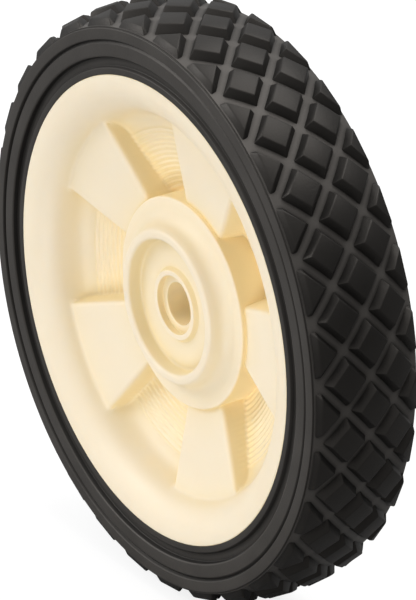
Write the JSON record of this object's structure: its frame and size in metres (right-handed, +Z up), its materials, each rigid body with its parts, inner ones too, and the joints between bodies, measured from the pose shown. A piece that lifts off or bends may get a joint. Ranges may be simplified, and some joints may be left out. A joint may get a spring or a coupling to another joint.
{
  "type": "lawn mower wheel",
  "caption": "Lawn mower wheel: a dished plastic moulding with raised spokes, a hub collar and a plain axle bore, in a rubber tyre with a diamond tread.",
  "frame": {"origin": "centre of the wheel, on the axle line, half way across the tyre", "axes": "+Y along the axle line to the back, where the bore sleeve stands out; the dished front faces -Y; +Z up with the wheel upright"},
  "size_m": [0.1778, 0.0376, 0.178],
  "materials": {
    "ivory_plastic": "satin, slightly translucent",
    "black_rubber": "moulded satin rubber"
  },
  "bodies": {
    "root": {"wheel": "ivory_plastic", "tyre": "black_rubber"}
  },
  "joints": []
}
